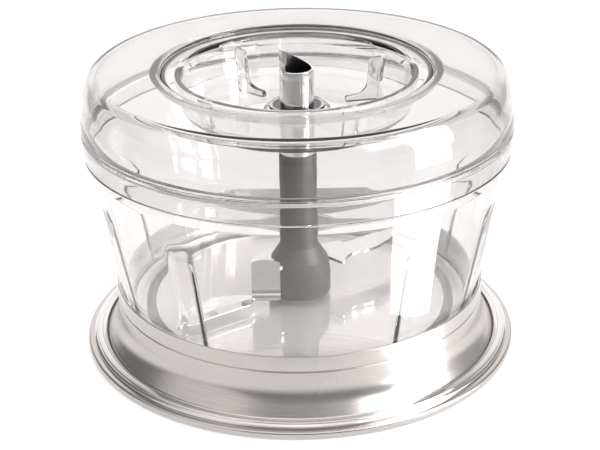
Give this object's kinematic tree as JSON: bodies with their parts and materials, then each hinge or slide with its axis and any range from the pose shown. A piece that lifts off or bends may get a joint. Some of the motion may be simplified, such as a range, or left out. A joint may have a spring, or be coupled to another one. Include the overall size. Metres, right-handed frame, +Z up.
{
  "type": "food processor bowl unit",
  "caption": "Clear chopper bowl on a satin metal base, with a recessed lid, a steel drive tube and an S-shaped blade unit that lifts out and spins.",
  "frame": {"origin": "centre of the underside of the base, on the surface it stands on", "axes": "+Z up along the drive axis, -Y towards the front, +X to the right seen from the front"},
  "size_m": [0.19, 0.19, 0.1315],
  "materials": {
    "clear_plastic": "clear, polished, colourless",
    "satin_metal": "satin",
    "bright_trim": "polished",
    "rubber": "matte",
    "pale_plastic": "satin",
    "silicone": "matte, translucent",
    "fastener_steel": "plain",
    "polished_steel": "mirror polished",
    "blade_steel": "mirror polished, ground edges",
    "nylon": "satin",
    "grey_plastic": "satin"
  },
  "bodies": {
    "base": {"base_ring": "satin_metal", "rim_trim": "bright_trim", "foot_ring": "rubber", "base_pan": "pale_plastic", "deck_plate": "polished_steel", "bowl_gasket": "silicone", "base_screws": "fastener_steel"},
    "bowl": {"bowl": "clear_plastic", "spindle": "polished_steel", "spindle_washer": "fastener_steel", "spindle_nut": "fastener_steel"},
    "blade_carrier": {"bearing_sleeve": "nylon", "thrust_washer": "fastener_steel"},
    "blade_unit": {"blade_stem": "grey_plastic", "drive_tube": "polished_steel", "drive_pin": "fastener_steel", "upper_blade": "blade_steel", "lower_blade": "blade_steel", "blade_spacer": "grey_plastic", "hub_foot": "grey_plastic"},
    "lid": {"lid_shell": "clear_plastic", "lid_seal": "silicone", "well_cup": "clear_plastic", "well_bush": "nylon", "tube_seal": "silicone"}
  },
  "joints": [
    {"name": "bowl_lift", "type": "slide", "parent": "base", "child": "bowl", "axis": [0, 0, 1], "range_m": [0, 0.1]},
    {"name": "blade_lift", "type": "slide", "parent": "bowl", "child": "blade_carrier", "axis": [0, 0, 1], "range_m": [0, 0.12]},
    {"name": "blade_spin", "type": "hinge", "parent": "blade_carrier", "child": "blade_unit", "pos_m": [0, 0, 0.05], "axis": [0, 0, 1], "continuous": true},
    {"name": "lid_lift", "type": "slide", "parent": "blade_carrier", "child": "lid", "axis": [0, 0, 1], "range_m": [0, 0.12]}
  ]
}
